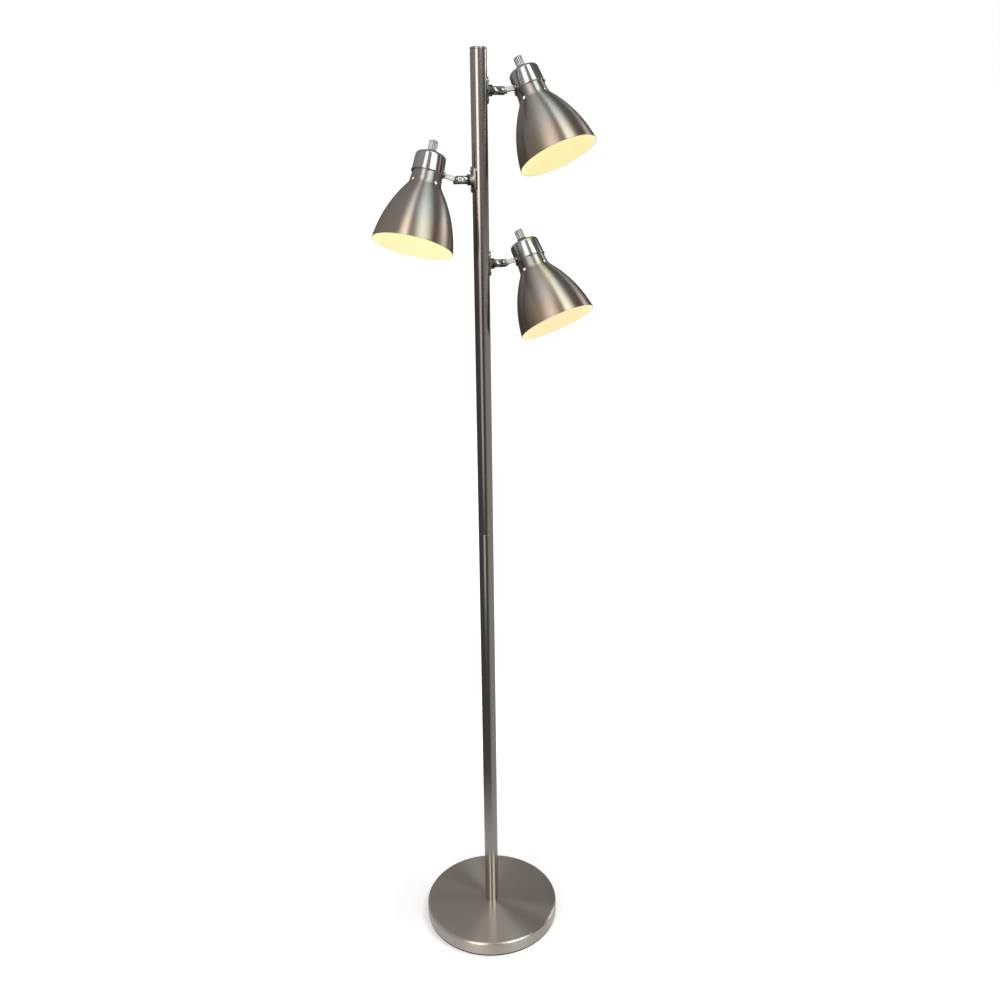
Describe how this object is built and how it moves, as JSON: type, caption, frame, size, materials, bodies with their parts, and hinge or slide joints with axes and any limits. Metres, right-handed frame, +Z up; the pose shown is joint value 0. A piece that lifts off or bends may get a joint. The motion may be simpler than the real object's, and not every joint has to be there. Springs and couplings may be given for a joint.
{
  "type": "tree floor lamp",
  "caption": "Tree floor lamp: round weighted base, straight pole, bell-shaped shades on swivelling and tilting arms, each with a turn-knob switch.",
  "frame": {"origin": "centre of the base on the floor", "axes": "+Z up along the pole, +X along the arms of the upper and lower heads, -Y to the front"},
  "size_m": [0.3536, 0.2556, 1.578],
  "materials": {
    "black_foam": "matt foam",
    "black_phenolic": "moulded phenolic",
    "black_plastic": "matt moulded",
    "brass_shell": "rolled",
    "bright_stem": "bright plated",
    "brushed_nickel": "satin brushed nickel plate",
    "brushed_nickel_shade": "spun, brushed nickel plate outside, white enamel inside",
    "bulb_base_metal": "rolled thread",
    "cement_filler": "rough cast filler",
    "knob_nickel": "bright metallised plastic",
    "opal_glass": "opal white, lit",
    "polished_nickel": "polished nickel plate",
    "zinc_steel": "zinc plated"
  },
  "bodies": {
    "root": {"base_cover": "brushed_nickel", "base_weight": "cement_filler", "base_pad": "black_foam", "base_nipple": "zinc_steel", "base_nut": "zinc_steel", "cord_bushing": "black_plastic", "pole_lower": "brushed_nickel", "pole_upper": "brushed_nickel", "pole_cap": "brushed_nickel", "foot_ferrule": "zinc_steel", "joint_stud": "zinc_steel", "joint_socket": "zinc_steel", "saddle_screws": "polished_nickel", "upper_saddle": "brushed_nickel", "middle_saddle": "brushed_nickel", "lower_saddle": "brushed_nickel"},
    "upper_arm_body": {"upper_arm": "brushed_nickel", "upper_arm_fasteners": "zinc_steel"},
    "upper_head_body": {"upper_tongue": "polished_nickel", "upper_tongue_screw": "zinc_steel", "upper_cap": "polished_nickel", "upper_shade": "brushed_nickel_shade", "upper_shade_ring": "black_plastic", "upper_lampholder": "black_phenolic", "upper_screw_shell": "brass_shell", "upper_bulb_base": "bulb_base_metal", "upper_bulb_glass": "opal_glass", "upper_switch_stem": "bright_stem"},
    "upper_knob_body": {"upper_spindle": "brass_shell", "upper_knob": "knob_nickel"},
    "middle_arm_body": {"middle_arm": "brushed_nickel", "middle_arm_fasteners": "zinc_steel"},
    "middle_head_body": {"middle_tongue": "polished_nickel", "middle_tongue_screw": "zinc_steel", "middle_cap": "polished_nickel", "middle_shade": "brushed_nickel_shade", "middle_shade_ring": "black_plastic", "middle_lampholder": "black_phenolic", "middle_screw_shell": "brass_shell", "middle_bulb_base": "bulb_base_metal", "middle_bulb_glass": "opal_glass", "middle_switch_stem": "bright_stem"},
    "middle_knob_body": {"middle_spindle": "brass_shell", "middle_knob": "knob_nickel"},
    "lower_arm_body": {"lower_arm": "brushed_nickel", "lower_arm_fasteners": "zinc_steel"},
    "lower_head_body": {"lower_tongue": "polished_nickel", "lower_tongue_screw": "zinc_steel", "lower_cap": "polished_nickel", "lower_shade": "brushed_nickel_shade", "lower_shade_ring": "black_plastic", "lower_lampholder": "black_phenolic", "lower_screw_shell": "brass_shell", "lower_bulb_base": "bulb_base_metal", "lower_bulb_glass": "opal_glass", "lower_switch_stem": "bright_stem"},
    "lower_knob_body": {"lower_spindle": "brass_shell", "lower_knob": "knob_nickel"}
  },
  "joints": [
    {"name": "upper_arm_swivel", "type": "hinge", "parent": "root", "child": "upper_arm_body", "pos_m": [0, 0, 1.518], "axis": [-1, 0, 0], "range_deg": [-146, 94]},
    {"name": "upper_head_tilt", "type": "hinge", "parent": "upper_arm_body", "child": "upper_head_body", "pos_m": [0.037, 0, 1.518], "axis": [0, -0.8988, 0.4384], "range_deg": [-16, 47]},
    {"name": "upper_knob_turn", "type": "hinge", "parent": "upper_head_body", "child": "upper_knob_body", "pos_m": [0.0771, 0.01936, 1.55768], "axis": [-0.225, 0.4271, 0.8758], "continuous": true},
    {"name": "middle_arm_swivel", "type": "hinge", "parent": "root", "child": "middle_arm_body", "pos_m": [0, 0, 1.39], "axis": [-1, 0, 0], "range_deg": [-134, 106]},
    {"name": "middle_head_tilt", "type": "hinge", "parent": "middle_arm_body", "child": "middle_head_body", "pos_m": [-0.037, 0, 1.39], "axis": [0, 0.9703, -0.2419], "range_deg": [-22, 41]},
    {"name": "middle_knob_turn", "type": "hinge", "parent": "middle_head_body", "child": "middle_knob_body", "pos_m": [-0.07226, 0.01164, 1.43667], "axis": [0.3256, 0.2287, 0.9174], "continuous": true},
    {"name": "lower_arm_swivel", "type": "hinge", "parent": "root", "child": "lower_arm_body", "pos_m": [0, 0, 1.262], "axis": [-1, 0, 0], "range_deg": [-149, 91]},
    {"name": "lower_head_tilt", "type": "hinge", "parent": "lower_arm_body", "child": "lower_head_body", "pos_m": [0.037, 0, 1.262], "axis": [0, -0.8746, 0.4848], "range_deg": [-15, 48]},
    {"name": "lower_knob_turn", "type": "hinge", "parent": "lower_head_body", "child": "lower_knob_body", "pos_m": [0.07786, 0.02106, 1.3], "axis": [-0.2079, 0.4742, 0.8555], "continuous": true}
  ]
}
